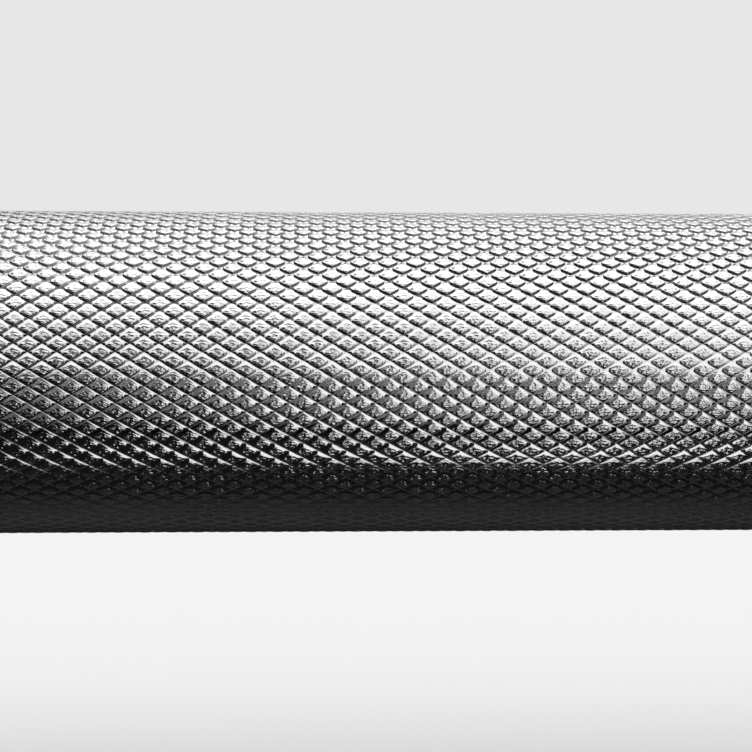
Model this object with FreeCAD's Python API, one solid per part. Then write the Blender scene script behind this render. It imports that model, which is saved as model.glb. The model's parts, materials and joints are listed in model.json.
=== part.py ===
import FreeCAD, Part
import math
import os

# An Olympic barbell: one knurled shaft that carries two sleeves, each turning on two flanged bushings and two
# caged needle bearings. The bar lies along X, the origin is at the middle of its axis and +Z is up. Lengths
# are in millimetres. The pieces of one end are drawn for the +X end, at a distance from the middle of the
# bar, and the -X end has the same pieces turned half a turn about Z.

# The bar as a whole
BAR_LENGTH = 2200.0
BETWEEN_COLLARS = 1310.0
SHAFT_DIAMETER = 28.0
JOURNAL_DIAMETER = 25.0

# Knurled bands: their crests stand a little proud of the smooth shaft
KNURL_RISE = 0.15
KNURL_EDGE = 0.5
CENTRE_KNURL_LENGTH = 120.0
GRIP_KNURL_LENGTH = 445.0
MARK_FROM_COLLAR = 195.0
MARK_WIDTH = 5.0
KNURL_TO_COLLAR = 3.0

# Shaft ends
SHOULDER_CHAMFER = 0.5
SHAFT_END_CHAMFER = 1.0
SHAFT_END_LAND = 4.0
CENTRE_HOLE_DIAMETER = 8.0
CENTRE_HOLE_ANGLE = 60.0

# Sleeve tube and the collar shrunk on its inner end
SLEEVE_DIAMETER = 50.0
SLEEVE_END_CHAMFER = 2.0
SLEEVE_BORE_CHAMFER = 0.5
COLLAR_SEAT_STEP = 1.0
COLLAR_DIAMETER = 80.0
COLLAR_THICKNESS = 30.0
COLLAR_EDGE_RADIUS = 4.0

# Caged needle bearing
NEEDLE_DIAMETER = 2.0
NEEDLE_LENGTH = 13.8
NEEDLE_COUNT = 16
NEEDLE_CLEARANCE = 0.015
CUP_WALL = 0.8
CUP_LENGTH = 20.0
CUP_LIP = 0.8
CUP_LIP_GAP = 0.75
CUP_CORNER_CHAMFER = 0.4
CAGE_WALL = 0.9
CAGE_END_GAP = 0.3
CAGE_POCKET_CLEARANCE = 0.08

# Flanged bronze bushings
BUSHING_LENGTH = 30.0
BUSHING_FLANGE_WIDTH = 3.5
BUSHING_FLANGE_THICKNESS = 3.0
BUSHING_CLEARANCE = 0.04
BUSHING_CHAMFER = 0.5
BUSHING_TO_BEARING = 8.0

# Thrust washers and the shaft's retaining ring
WASHER_THICKNESS = 1.5
WASHER_RIM_GAP = 1.0
WASHER_CLEARANCE = 0.1
SLEEVE_PLAY = 0.2
SHAFT_RING_THICKNESS = 1.2
SHAFT_RING_GROOVE_DEPTH = 0.55
SHAFT_RING_WIDTH = 3.2
SHAFT_RING_NARROWING = 1.0
SHAFT_RING_GAP = 5.0
SHAFT_RING_LUG_DIAMETER = 4.2
SHAFT_RING_HOLE_DIAMETER = 2.0
RING_GROOVE_CLEARANCE = 0.1

# Dust seal in the mouth of the sleeve
SEAL_RECESS = 1.0
SEAL_LENGTH = 6.0
SEAL_TO_SHOULDER = 1.0
SEAL_LIP_CLEARANCE = 0.1
SEAL_LIP_LENGTH = 1.5
SEAL_LIP_RELIEF = 1.2

# Open end of the sleeve: cap, its sealing ring and its retaining ring
END_BORE_DEPTH = 30.0
CAP_DIAMETER = 42.0
CAP_THICKNESS = 7.0
CAP_SEAT_STEP = 1.5
CAP_CLEARANCE = 0.05
CAP_CHAMFER = 0.6
CAP_DISH_DEPTH = 1.0
CAP_DISH_MARGIN = 6.0
CAP_DISH_SLOPE = 1.5
CAP_SEAL_WIDTH = 2.4
CAP_SEAL_DEPTH = 2.0
CAP_RING_SETBACK = 2.0
CAP_RING_THICKNESS = 1.75
CAP_RING_GROOVE_DEPTH = 1.25
CAP_RING_WIDTH = 3.6
CAP_RING_NARROWING = 1.2
CAP_RING_GAP = 8.0
CAP_RING_LUG_DIAMETER = 5.6
CAP_RING_HOLE_DIAMETER = 2.5

# Every cut runs past the faces it goes through by this much
OVERRUN = 1.0

# Radii that pieces share
shaft_radius = SHAFT_DIAMETER / 2
journal_radius = JOURNAL_DIAMETER / 2
sleeve_radius = SLEEVE_DIAMETER / 2
race_radius = journal_radius + NEEDLE_DIAMETER
bore_radius = race_radius + CUP_WALL
flange_radius = bore_radius + BUSHING_FLANGE_WIDTH
washer_radius = flange_radius - WASHER_RIM_GAP
cap_bore_radius = CAP_DIAMETER / 2
end_bore_radius = cap_bore_radius - CAP_SEAT_STEP
shaft_groove_radius = journal_radius - SHAFT_RING_GROOVE_DEPTH
cap_groove_radius = cap_bore_radius + CAP_RING_GROOVE_DEPTH
collar_seat_radius = sleeve_radius - COLLAR_SEAT_STEP

# Places along the bar, from its middle, at the inner end of a sleeve
sleeve_start = BETWEEN_COLLARS / 2
collar_end = sleeve_start + COLLAR_THICKNESS
seal_start = sleeve_start + SEAL_RECESS
seal_end = seal_start + SEAL_LENGTH
shoulder = seal_end + SEAL_TO_SHOULDER
inner_flange_start = shoulder + WASHER_THICKNESS + SLEEVE_PLAY
inner_flange_end = inner_flange_start + BUSHING_FLANGE_THICKNESS
inner_bushing_end = inner_flange_end + BUSHING_LENGTH
inner_cup_start = inner_bushing_end + BUSHING_TO_BEARING

# Places along the bar at the open end of a sleeve
sleeve_end = BAR_LENGTH / 2
cap_groove_end = sleeve_end - CAP_RING_SETBACK
cap_groove_start = cap_groove_end - CAP_RING_THICKNESS - RING_GROOVE_CLEARANCE
cap_start = cap_groove_start - CAP_THICKNESS
outer_flange_start = sleeve_end - END_BORE_DEPTH
outer_flange_end = outer_flange_start + BUSHING_FLANGE_THICKNESS
outer_bushing_start = outer_flange_start - BUSHING_LENGTH
outer_cup_start = outer_bushing_start - BUSHING_TO_BEARING - CUP_LENGTH
outer_washer_start = outer_flange_end + SLEEVE_PLAY
shaft_groove_start = outer_washer_start + WASHER_THICKNESS
shaft_groove_end = shaft_groove_start + SHAFT_RING_THICKNESS + RING_GROOVE_CLEARANCE
shaft_end = shaft_groove_end + SHAFT_END_LAND

MIDDLE = FreeCAD.Vector(0, 0, 0)
ALONG_BAR = FreeCAD.Vector(1, 0, 0)
UP = FreeCAD.Vector(0, 0, 1)
FULL_TURN = 360.0
HALF_TURN = 180.0


def half_section(corners):
    """A closed wire above the axis through corners given as (along the bar, radius, rounding)."""
    bends = []
    for index, (along, radius, rounding) in enumerate(corners):
        here = FreeCAD.Vector(along, 0, radius)
        last = corners[index - 1]
        following = corners[(index + 1) % len(corners)]
        to_last = (FreeCAD.Vector(last[0], 0, last[1]) - here).normalize()
        to_following = (FreeCAD.Vector(following[0], 0, following[1]) - here).normalize()
        half_angle = to_last.getAngle(to_following) / 2
        reach = rounding / math.tan(half_angle)
        inward = (to_last + to_following).normalize() if rounding else MIDDLE
        crown = here + inward * (rounding / math.sin(half_angle) - rounding)
        bends.append((here + to_last * reach, crown, here + to_following * reach, rounding))
    edges = []
    for index, (start, crown, end, rounding) in enumerate(bends):
        if rounding:
            edges.append(Part.Arc(start, crown, end).toShape())
        edges.append(Part.LineSegment(end, bends[(index + 1) % len(bends)][0]).toShape())
    return Part.Wire(edges)


def turned(corners):
    """The solid that a half section sweeps in one turn about the bar's axis."""
    solid = Part.Face(half_section(corners)).revolve(MIDDLE, ALONG_BAR, FULL_TURN)
    return solid if solid.Volume > 0 else solid.reversed()


def disc(radius, start, thickness, side=0.0, height=0.0):
    """A round plate square to the bar, with its centre off the axis by side and height."""
    return Part.makeCylinder(radius, thickness, FreeCAD.Vector(start, side, height), ALONG_BAR)


def make_shaft():
    """The one-piece shaft: knurled bands, marks, shoulders, journals, ring grooves and turning centres."""
    crest_radius = shaft_radius + KNURL_RISE
    centre_end = CENTRE_KNURL_LENGTH / 2
    mark_outer = sleeve_start - MARK_FROM_COLLAR
    mark_inner = mark_outer - MARK_WIDTH
    grips = [
        (sleeve_start - GRIP_KNURL_LENGTH, mark_inner),
        (mark_outer, sleeve_start - KNURL_TO_COLLAR),
    ]
    half = [(centre_end - KNURL_EDGE, crest_radius), (centre_end, shaft_radius)]
    for start, end in grips:
        half += [(start, shaft_radius), (start + KNURL_EDGE, crest_radius)]
        half += [(end - KNURL_EDGE, crest_radius), (end, shaft_radius)]
    half += [(shoulder - SHOULDER_CHAMFER, shaft_radius), (shoulder, shaft_radius - SHOULDER_CHAMFER)]
    half += [(shoulder, journal_radius), (shaft_groove_start, journal_radius)]
    half += [(shaft_groove_start, shaft_groove_radius), (shaft_groove_end, shaft_groove_radius)]
    half += [(shaft_groove_end, journal_radius), (shaft_end - SHAFT_END_CHAMFER, journal_radius)]
    half += [(shaft_end, journal_radius - SHAFT_END_CHAMFER)]
    centre_hole_radius = CENTRE_HOLE_DIAMETER / 2
    centre_hole_depth = centre_hole_radius / math.tan(math.radians(CENTRE_HOLE_ANGLE / 2))
    half += [(shaft_end, centre_hole_radius), (shaft_end - centre_hole_depth, 0)]
    other_half = [(-along, radius) for along, radius in reversed(half)]
    return turned([(along, radius, 0) for along, radius in other_half + half])


def make_sleeve_tube():
    """The tube that plates slide on, with a collar seat, a bushing bore and a stepped open end."""
    return turned([
        (sleeve_start, flange_radius + SLEEVE_BORE_CHAMFER, 0),
        (sleeve_start, collar_seat_radius, 0),
        (collar_end, collar_seat_radius, 0),
        (collar_end, sleeve_radius, 0),
        (sleeve_end - SLEEVE_END_CHAMFER, sleeve_radius, 0),
        (sleeve_end, sleeve_radius - SLEEVE_END_CHAMFER, 0),
        (sleeve_end, cap_bore_radius + SLEEVE_BORE_CHAMFER, 0),
        (sleeve_end - SLEEVE_BORE_CHAMFER, cap_bore_radius, 0),
        (cap_groove_end, cap_bore_radius, 0),
        (cap_groove_end, cap_groove_radius, 0),
        (cap_groove_start, cap_groove_radius, 0),
        (cap_groove_start, cap_bore_radius, 0),
        (cap_start, cap_bore_radius, 0),
        (cap_start, end_bore_radius, 0),
        (outer_flange_start, end_bore_radius, 0),
        (outer_flange_start, bore_radius, 0),
        (inner_flange_end, bore_radius, 0),
        (inner_flange_end, flange_radius, 0),
        (sleeve_start + SLEEVE_BORE_CHAMFER, flange_radius, 0),
    ])


def make_collar():
    """The inner collar that plates stop against, with rounded rims, seated on the step of the sleeve tube."""
    rim_radius = COLLAR_DIAMETER / 2
    return turned([
        (sleeve_start, collar_seat_radius, 0),
        (sleeve_start, rim_radius, COLLAR_EDGE_RADIUS),
        (collar_end, rim_radius, COLLAR_EDGE_RADIUS),
        (collar_end, collar_seat_radius, 0),
    ])


def make_bushing(flange_face, flange_back, far_end):
    """A bronze bushing pressed into the sleeve's bore, with its flange on the step of the bore."""
    inward = math.copysign(1, far_end - flange_back)
    inner_radius = journal_radius + BUSHING_CLEARANCE
    return turned([
        (flange_face, inner_radius + BUSHING_CHAMFER, 0),
        (flange_face, flange_radius, 0),
        (flange_back, flange_radius, 0),
        (flange_back, bore_radius, 0),
        (far_end - inward * BUSHING_CHAMFER, bore_radius, 0),
        (far_end, bore_radius - BUSHING_CHAMFER, 0),
        (far_end, inner_radius, 0),
        (flange_face + inward * BUSHING_CHAMFER, inner_radius, 0),
    ])


def make_bearing_cup(start):
    """The drawn steel cup of a needle bearing: a thin race with a lip turned in at each end."""
    end = start + CUP_LENGTH
    lip_radius = journal_radius + CUP_LIP_GAP
    return turned([
        (start, lip_radius, 0),
        (start, bore_radius - CUP_CORNER_CHAMFER, 0),
        (start + CUP_CORNER_CHAMFER, bore_radius, 0),
        (end - CUP_CORNER_CHAMFER, bore_radius, 0),
        (end, bore_radius - CUP_CORNER_CHAMFER, 0),
        (end, lip_radius, 0),
        (end - CUP_LIP, lip_radius, 0),
        (end - CUP_LIP, race_radius, 0),
        (start + CUP_LIP, race_radius, 0),
        (start + CUP_LIP, lip_radius, 0),
    ])


def make_bearing_cage(start):
    """The cage of a needle bearing: a ring between the lips of its cup, with one pocket for each needle."""
    pitch_radius = (journal_radius + race_radius) / 2
    inside = pitch_radius - CAGE_WALL / 2
    outside = pitch_radius + CAGE_WALL / 2
    cage_start = start + CUP_LIP + CAGE_END_GAP
    cage_end = start + CUP_LENGTH - CUP_LIP - CAGE_END_GAP
    ring = turned([
        (cage_start, inside, 0),
        (cage_start, outside, 0),
        (cage_end, outside, 0),
        (cage_end, inside, 0),
    ])
    pocket_length = NEEDLE_LENGTH + 2 * CAGE_POCKET_CLEARANCE
    pocket_width = NEEDLE_DIAMETER + 2 * CAGE_POCKET_CLEARANCE
    pocket_start = (cage_start + cage_end - pocket_length) / 2
    corner = FreeCAD.Vector(pocket_start, -pocket_width / 2, inside - OVERRUN)
    pocket = Part.makeBox(pocket_length, pocket_width, CAGE_WALL + 2 * OVERRUN, corner)
    return ring.cut(around_axis(pocket, NEEDLE_COUNT))


def make_bearing_needles(start):
    """The needles of one bearing, each in its pocket between the journal and the race."""
    pitch_radius = (journal_radius + race_radius) / 2
    needle_radius = NEEDLE_DIAMETER / 2 - NEEDLE_CLEARANCE
    needle_start = start + (CUP_LENGTH - NEEDLE_LENGTH) / 2
    needle = disc(needle_radius, needle_start, NEEDLE_LENGTH, height=pitch_radius)
    return Part.makeCompound(around_axis(needle, NEEDLE_COUNT))


def around_axis(shape, count):
    """Copies of a shape at equal angles about the bar's axis."""
    copies = []
    for index in range(count):
        copy = shape.copy()
        copy.rotate(MIDDLE, ALONG_BAR, index * FULL_TURN / count)
        copies.append(copy)
    return copies


def make_thrust_washer(start):
    """A steel washer on the journal, between the shaft and the flange of a bushing."""
    inside = journal_radius + WASHER_CLEARANCE
    return turned([
        (start, inside, 0),
        (start, washer_radius, 0),
        (start + WASHER_THICKNESS, washer_radius, 0),
        (start + WASHER_THICKNESS, inside, 0),
    ])


def lug_places(gap, lug_diameter, lug_reach):
    """The centres (side, height) of the two plier lugs beside the gap at the foot of a retaining ring."""
    side = (gap + lug_diameter) / 2
    height = -math.sqrt(lug_reach ** 2 - side ** 2)
    return [(-side, height), (side, height)]


def slit(gap, start, thickness, reach):
    """The cutter that opens the foot of a retaining ring."""
    corner = FreeCAD.Vector(start - OVERRUN, -gap / 2, -reach - OVERRUN)
    return Part.makeBox(thickness + 2 * OVERRUN, gap, reach + OVERRUN, corner)


def make_shaft_ring():
    """The outside retaining ring on the journal: widest at its top, narrowing to a lug each side of its gap."""
    start = shaft_groove_start
    thickness = SHAFT_RING_THICKNESS
    lug_radius = SHAFT_RING_LUG_DIAMETER / 2
    hole_radius = SHAFT_RING_HOLE_DIAMETER / 2
    outer_radius = shaft_groove_radius + SHAFT_RING_WIDTH - SHAFT_RING_NARROWING / 2
    ring = disc(outer_radius, start, thickness, height=SHAFT_RING_NARROWING / 2)
    holes = []
    for side, height in lug_places(SHAFT_RING_GAP, SHAFT_RING_LUG_DIAMETER, shaft_groove_radius + lug_radius):
        ring = ring.fuse(disc(lug_radius, start, thickness, side, height))
        holes.append(disc(hole_radius, start - OVERRUN, thickness + 2 * OVERRUN, side, height))
    bore = disc(shaft_groove_radius, start - OVERRUN, thickness + 2 * OVERRUN)
    return ring.cut([bore, slit(SHAFT_RING_GAP, start, thickness, outer_radius + lug_radius)] + holes)


def make_cap_ring():
    """The inside retaining ring at the open end: its lugs turn inwards, each side of its gap."""
    start = cap_groove_start
    thickness = CAP_RING_THICKNESS
    lug_radius = CAP_RING_LUG_DIAMETER / 2
    hole_radius = CAP_RING_HOLE_DIAMETER / 2
    inner_radius = cap_groove_radius - CAP_RING_WIDTH + CAP_RING_NARROWING / 2
    ring = disc(cap_groove_radius, start, thickness)
    opening = disc(inner_radius, start - OVERRUN, thickness + 2 * OVERRUN, height=-CAP_RING_NARROWING / 2)
    ring = ring.cut(opening)
    holes = []
    for side, height in lug_places(CAP_RING_GAP, CAP_RING_LUG_DIAMETER, cap_groove_radius - lug_radius):
        ring = ring.fuse(disc(lug_radius, start, thickness, side, height))
        holes.append(disc(hole_radius, start - OVERRUN, thickness + 2 * OVERRUN, side, height))
    return ring.cut([slit(CAP_RING_GAP, start, thickness, cap_groove_radius)] + holes)


def make_dust_seal():
    """The rubber ring in the mouth of the sleeve: a body pressed into the bore and a thin lip at the shaft."""
    lip_radius = shaft_radius + SEAL_LIP_CLEARANCE
    relief_radius = lip_radius + SEAL_LIP_RELIEF
    return turned([
        (seal_start, lip_radius, 0),
        (seal_start, flange_radius, 0),
        (seal_end, flange_radius, 0),
        (seal_end, relief_radius, 0),
        (seal_start + 2 * SEAL_LIP_LENGTH, relief_radius, 0),
        (seal_start + SEAL_LIP_LENGTH, lip_radius, 0),
    ])


def make_end_cap():
    """The turned cap: a dished face, and a groove round its rim for the sealing ring."""
    cap_end = cap_start + CAP_THICKNESS
    rim = cap_bore_radius - CAP_CLEARANCE
    groove_start = cap_start + (CAP_THICKNESS - CAP_SEAL_WIDTH) / 2
    groove_end = groove_start + CAP_SEAL_WIDTH
    groove_radius = cap_bore_radius - CAP_SEAL_DEPTH
    dish_radius = rim - CAP_DISH_MARGIN
    return turned([
        (cap_start, 0, 0),
        (cap_start, rim - CAP_CHAMFER, 0),
        (cap_start + CAP_CHAMFER, rim, 0),
        (groove_start, rim, 0),
        (groove_start, groove_radius, 0),
        (groove_end, groove_radius, 0),
        (groove_end, rim, 0),
        (cap_end - CAP_CHAMFER, rim, 0),
        (cap_end, rim - CAP_CHAMFER, 0),
        (cap_end, dish_radius, 0),
        (cap_end - CAP_DISH_DEPTH, dish_radius - CAP_DISH_SLOPE, 0),
        (cap_end - CAP_DISH_DEPTH, 0, 0),
    ])


def make_cap_seal():
    """The square-cut rubber ring in the cap's groove, which seals and stops the cap rattling."""
    start = cap_start + (CAP_THICKNESS - CAP_SEAL_WIDTH) / 2
    end = start + CAP_SEAL_WIDTH
    inside = cap_bore_radius - CAP_SEAL_DEPTH
    return turned([
        (start, inside, 0),
        (start, cap_bore_radius, 0),
        (end, cap_bore_radius, 0),
        (end, inside, 0),
    ])


def make_one_end():
    """Every piece of the +X end of the bar, by name."""
    pieces = {
        "sleeve_tube": make_sleeve_tube(),
        "inner_collar": make_collar(),
        "dust_seal": make_dust_seal(),
        "inner_thrust_washer": make_thrust_washer(shoulder),
        "inner_bushing": make_bushing(inner_flange_start, inner_flange_end, inner_bushing_end),
        "outer_bushing": make_bushing(outer_flange_end, outer_flange_start, outer_bushing_start),
        "outer_thrust_washer": make_thrust_washer(outer_washer_start),
        "shaft_retaining_ring": make_shaft_ring(),
        "end_cap": make_end_cap(),
        "end_cap_seal": make_cap_seal(),
        "end_cap_retaining_ring": make_cap_ring(),
    }
    for place, start in (("inner", inner_cup_start), ("outer", outer_cup_start)):
        pieces[place + "_bearing_cup"] = make_bearing_cup(start)
        pieces[place + "_bearing_cage"] = make_bearing_cage(start)
        pieces[place + "_bearing_needles"] = make_bearing_needles(start)
    return pieces


def main():
    os.makedirs("parts", exist_ok=True)
    nodes = {"shaft": make_shaft()}
    for name, piece in make_one_end().items():
        nodes["right_" + name] = piece
        turned_round = piece.copy()
        turned_round.rotate(MIDDLE, UP, HALF_TURN)
        nodes["left_" + name] = turned_round
    for name, shape in nodes.items():
        shape.exportStep(os.path.join("parts", name + ".step"))
        print(name, "solids", len(shape.Solids), "valid", shape.isValid(), "volume", round(shape.Volume, 1))


main()
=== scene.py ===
# %% [markdown]
# # Dressing a barbell
# A weightlifting bar is one long steel shaft with a turning sleeve at each end. The CAD model gives every
# piece its size and its place, and this script gives each one its surface. It loads the CAD model first
# and never moves it: new pieces are built in the same frame, in metres, with the bar along X and its
# middle at the origin.

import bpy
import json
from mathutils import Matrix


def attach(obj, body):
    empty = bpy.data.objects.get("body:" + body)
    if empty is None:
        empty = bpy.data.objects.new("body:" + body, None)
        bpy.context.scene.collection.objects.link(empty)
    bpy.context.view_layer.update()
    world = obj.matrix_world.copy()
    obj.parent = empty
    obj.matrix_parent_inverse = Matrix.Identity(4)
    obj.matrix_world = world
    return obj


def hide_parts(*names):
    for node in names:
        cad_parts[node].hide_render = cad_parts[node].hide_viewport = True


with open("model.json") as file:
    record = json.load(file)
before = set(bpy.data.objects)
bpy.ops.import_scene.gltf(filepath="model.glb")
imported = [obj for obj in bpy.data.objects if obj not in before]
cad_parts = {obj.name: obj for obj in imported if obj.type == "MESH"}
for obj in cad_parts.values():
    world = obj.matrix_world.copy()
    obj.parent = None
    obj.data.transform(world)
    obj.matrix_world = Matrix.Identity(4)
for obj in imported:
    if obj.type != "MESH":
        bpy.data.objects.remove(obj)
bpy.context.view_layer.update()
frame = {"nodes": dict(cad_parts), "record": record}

# %% [markdown]
# ## Nodes for the finishes
# Every finish below is a small tree of shader nodes. A few helpers keep those trees short: one adds a
# node and fills or links its sockets, and the others do one step of arithmetic, map a range or blend two
# values. All the patterns are made in the bar's own coordinates, unrolled from it: along the bar, round
# it and out from its axis. A mark from the lathe is then a function of the place along the bar alone, and
# it stays with the piece when a sleeve turns.

# %% Helpers for shader nodes
import math
import bpy


def add_node(tree, kind, sockets, **settings):
    """Add a shader node, set it up and give each named socket a value or a link."""
    node = tree.nodes.new("ShaderNode" + kind)
    for name, value in settings.items():
        setattr(node, name, value)
    for name, value in sockets.items():
        if isinstance(value, bpy.types.NodeSocket):
            tree.links.new(value, node.inputs[name])
        else:
            node.inputs[name].default_value = value
    return node


def reckon(tree, operation, *values):
    """One step of arithmetic on sockets or numbers."""
    return add_node(tree, "Math", dict(enumerate(values)), operation=operation).outputs[0]


def spread(tree, value, low, high, to_low, to_high):
    """Map a value from one range to another, held at the ends."""
    sockets = {"Value": value, "From Min": low, "From Max": high, "To Min": to_low, "To Max": to_high}
    return add_node(tree, "MapRange", sockets).outputs["Result"]


def blended(tree, share, low, high):
    """A number between two others."""
    return add_node(tree, "Mix", {0: share, 2: low, 3: high}, data_type="FLOAT").outputs[0]


def tinted(tree, share, low, high):
    """A colour between two others, each of them a red, green and blue or a socket."""
    low, high = [c if isinstance(c, bpy.types.NodeSocket) else (*c, 1.0) for c in (low, high)]
    return add_node(tree, "Mix", {0: share, 6: low, 7: high}, data_type="RGBA").outputs[2]


def new_finish(name, metallic):
    """An empty finish: its material, its node tree and its shader."""
    material = bpy.data.materials.new(name)
    material.use_nodes = True
    shader = material.node_tree.nodes["Principled BSDF"]
    shader.inputs["Metallic"].default_value = metallic
    return material, material.node_tree, shader


print("node helpers ready")

# %% [markdown]
# ## Patterns on a round bar
# A pattern on a turned piece is easiest to think of on its unrolled surface. The distance to the axis and
# the angle round it come from the object's coordinates, and noise with a scale of its own in each
# direction makes anything from fine specks to streaks that run along the bar.

# %% Helpers for patterns
def unrolled(tree):
    """Sockets for the place along the bar, round it and out from its axis, in metres."""
    place = add_node(tree, "TexCoord", {}).outputs["Object"]
    split = add_node(tree, "SeparateXYZ", {"Vector": place}).outputs
    flat = add_node(tree, "CombineXYZ", {"Y": split["Y"], "Z": split["Z"]}).outputs[0]
    out = add_node(tree, "VectorMath", {0: flat}, operation="LENGTH").outputs["Value"]
    turn = reckon(tree, "ARCTAN2", split["Z"], reckon(tree, "MULTIPLY", split["Y"], -1.0))
    return split["X"], reckon(tree, "MULTIPLY", turn, out), out


def grain(tree, along, round_it, out, scale, detail):
    """Noise on the unrolled surface, with a scale for each direction, so that it can make streaks."""
    parts = [reckon(tree, "MULTIPLY", value, size) for value, size in zip((along, round_it, out), scale)]
    place = add_node(tree, "CombineXYZ", dict(enumerate(parts))).outputs[0]
    sockets = {"Vector": place, "Scale": 1.0, "Detail": detail, "Roughness": 0.55}
    return add_node(tree, "TexNoise", sockets).outputs["Fac"]


def dent(tree, shader, height, depth, strength=1.0):
    """Bump a shader's surface by a height from 0 to 1, times a depth in metres."""
    bump = add_node(tree, "Bump", {"Strength": strength, "Distance": depth, "Height": height})
    tree.links.new(bump.outputs["Normal"], shader.inputs["Normal"])


print("pattern helpers ready")

# %% [markdown]
# ## One diamond of the knurl
# Two sets of grooves are rolled into the shaft, crossing each other at an angle and leaving rows of small
# diamonds. The pattern could be a displacement map, but a map needs millions of faces before its edges
# are crisp. One diamond is a few dozen faces, so it is modelled once, laid flat, and repeated. Insets
# make the walls of the grooves and a top that rounds off like a pillow. Where two grooves cross, the steep
# lower walls stop short of the crossing and the sharp tips slope away. Each diamond also leans over a
# little, so that its upper side is longer than its lower one.

# %% One diamond
import bmesh
from mathutils import Matrix, Vector

MM = 0.001
HAIR = 0.001 * MM
SHAFT_RADIUS = 14.0 * MM
CREST_RADIUS = 14.15 * MM
DIAMONDS_ROUND = 64
DIAMOND_LENGTH = 2.31 * MM
DIAMOND_WIDTH = 2 * math.pi * SHAFT_RADIUS / DIAMONDS_ROUND
GROOVE_DEPTH = 0.20 * MM
WALL_WIDTH = 0.18 * MM
WALL_TOP = 0.07 * MM
LEAN = 0.108 * MM
TILT = 0.05


def walled_cell(wall_width, wall_top):
    """The cell of one diamond, X along the bar and Y round it, with its groove walls, and its top face."""
    bm = bmesh.new()
    bmesh.ops.create_circle(bm, cap_ends=True, segments=4, radius=1)
    bmesh.ops.scale(bm, vec=(DIAMOND_LENGTH / 2, DIAMOND_WIDTH / 2, 1), verts=bm.verts[:])
    bm.faces.ensure_lookup_table()
    top = bm.faces[0]
    top.normal_update()
    if top.normal.z < 0:
        bmesh.ops.reverse_faces(bm, faces=[top])
    bmesh.ops.inset_individual(bm, faces=[top], thickness=wall_width, depth=0, use_even_offset=True)
    for vert in bm.verts:
        vert.co.z = -GROOVE_DEPTH if vert.is_boundary else -wall_top
    return bm, top


def lean_over(bm):
    """Push the top off its middle and tilt it: a long upper side and a short, steep lower one."""
    for vert in bm.verts:
        height = 1 + vert.co.z / GROOVE_DEPTH
        vert.co.z -= TILT * vert.co.y * height
        vert.co.y -= LEAN * height


def describe(name, bm):
    """Print what a cell is made of."""
    triangles = sum(len(face.verts) - 2 for face in bm.faces)
    heights = sorted({round(vert.co.z / MM, 2) for vert in bm.verts})
    print(f"the {name} diamond has {triangles} triangles, at heights", heights)
    bm.free()


print(f"a diamond is {DIAMOND_LENGTH / MM:.2f} by {DIAMOND_WIDTH / MM:.3f} mm")

# %% [markdown]
# ## A fine and a plain diamond
# The middle of the bar is seen closest, so its diamond has sloping tips and rounds off in two steps. The
# long grips repeat a plainer one, with the same walls but a low pyramid for its top.

# %% The two cells
NOTCH = 0.40 * MM
TIP_CUTS = (0.50 * MM, 0.70 * MM)
SHOULDERS = ((0.075 * MM, 0.030 * MM), (0.17 * MM, 0.030 * MM))
CROWN = 0.010 * MM
PLAIN_WALL_WIDTH = 0.16 * MM
PLAIN_WALL_TOP = 0.065 * MM
PLAIN_CROWN = 0.06 * MM


def split_at(edge, vert, distance):
    """Put a new vertex on an edge, at a distance from one of its ends."""
    return bmesh.utils.edge_split(edge, vert, distance / edge.calc_length())[1]


def slope_tips(bm, top):
    """End the lower walls short of the crossings and slope the sharp tips; return the rest of the top."""
    for edge in [e for e in bm.edges if e.is_boundary]:
        tip, corner = sorted(edge.verts, key=lambda v: abs(v.co.y))
        split_at(edge, tip if corner.co.y < 0 else corner, NOTCH)
    slant = DIAMOND_LENGTH / math.hypot(DIAMOND_LENGTH, DIAMOND_WIDTH)
    for tip in [v for v in top.verts if abs(v.co.y) < HAIR]:
        crossing = next(e.other_vert(tip) for e in tip.link_edges if e.other_vert(tip).is_boundary)
        gone = abs(crossing.co.x - tip.co.x)
        edges = [e for e in tip.link_edges if top in e.link_faces]
        edges.sort(key=lambda e: e.other_vert(tip).co.y)
        lower, upper = [split_at(edge, tip, (cut - gone) / slant) for edge, cut in zip(edges, TIP_CUTS)]
        wall = next(f for f in lower.link_faces if f is not top)
        rim = [v for v in wall.verts if v.is_boundary]
        notch = next(v for v in rim if abs((v.co - crossing.co).length - NOTCH) < HAIR)
        bmesh.utils.face_split(wall, lower, notch)
        bmesh.utils.face_split(next(f for f in notch.link_faces if tip in f.verts), notch, tip)
        bmesh.utils.face_split(top, lower, upper)
        top = next(f for f in upper.link_faces if lower in f.verts and tip not in f.verts)
        tip.co = (crossing.co + upper.co) / 2
    return top


def fine_cell():
    """A cell with sloping tips and a top that rounds off in two steps."""
    bm, top = walled_cell(WALL_WIDTH, WALL_TOP)
    top = slope_tips(bm, top)
    for width, rise in SHOULDERS:
        bmesh.ops.inset_individual(bm, faces=[top], thickness=width, depth=rise, use_even_offset=True)
    bmesh.ops.poke(bm, faces=[top], offset=CROWN)
    lean_over(bm)
    return bm


def plain_cell():
    """The same cell with fewer faces: its walls and a low pyramid."""
    bm, top = walled_cell(PLAIN_WALL_WIDTH, PLAIN_WALL_TOP)
    bmesh.ops.poke(bm, faces=[top], offset=PLAIN_CROWN)
    lean_over(bm)
    return bm


describe("fine", fine_cell())
describe("plain", plain_cell())

# %% [markdown]
# ## Knurled steel
# The upper flanks of the diamonds are bright. The short lower ones, which face down, are painted a dark
# grey as painted shade and are made a little rougher, and the tops are dented. The distance to the bar's
# axis tells a flank from a top, and the place within the diamond tells a lower flank from an upper one, so
# no mask image is needed.
# Neighbouring diamonds look alike, so the noise that dents them is looked up in the coordinates of a
# single diamond, and only drifts slowly over the bar.

# %% The place in a diamond
FIRST_ALONG = 0.51 * MM
FIRST_ROUND = 0.18 * MM


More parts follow.
